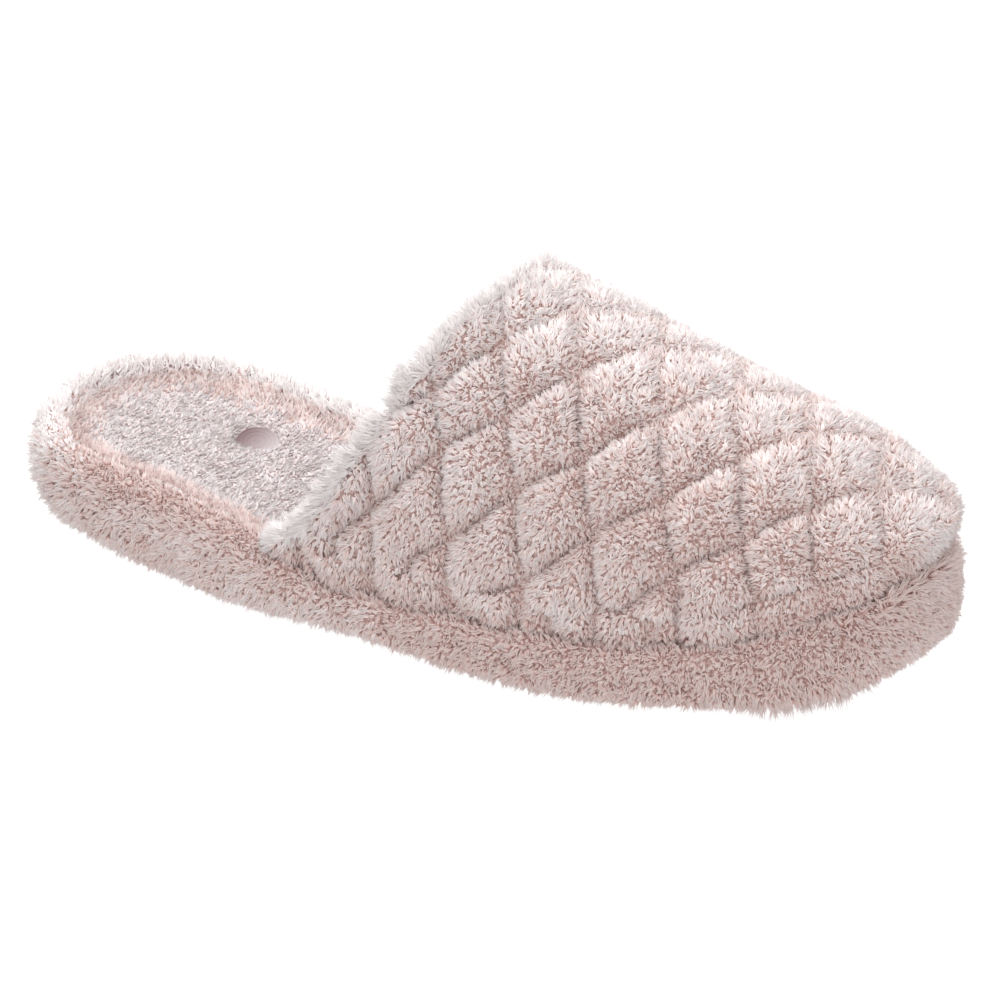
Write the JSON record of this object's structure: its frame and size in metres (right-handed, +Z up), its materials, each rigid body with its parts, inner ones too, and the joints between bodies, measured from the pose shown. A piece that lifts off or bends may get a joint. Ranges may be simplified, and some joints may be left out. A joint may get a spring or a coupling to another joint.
{
  "type": "clog slipper",
  "caption": "Backless plush house slipper for the right foot: quilted closed-toe upper, plush side strips and insole on a soft foam sole.",
  "frame": {"origin": "on the floor, under the centre of the slipper's box", "axes": "+X towards the toe, +Y towards the inner side of the foot, +Z up"},
  "size_m": [0.2619, 0.098, 0.0901],
  "materials": {
    "upper_plush": "deep blush plush pile, quilted in diamonds",
    "strip_plush": "deep blush plush pile",
    "insole_plush": "shorter pressed blush plush",
    "sole_cloth": "plain woven underside"
  },
  "bodies": {
    "root": {"sole": "sole_cloth", "insole": "insole_plush", "heel_wrap": "strip_plush", "toe_wrap": "strip_plush", "upper": "upper_plush"}
  },
  "joints": []
}
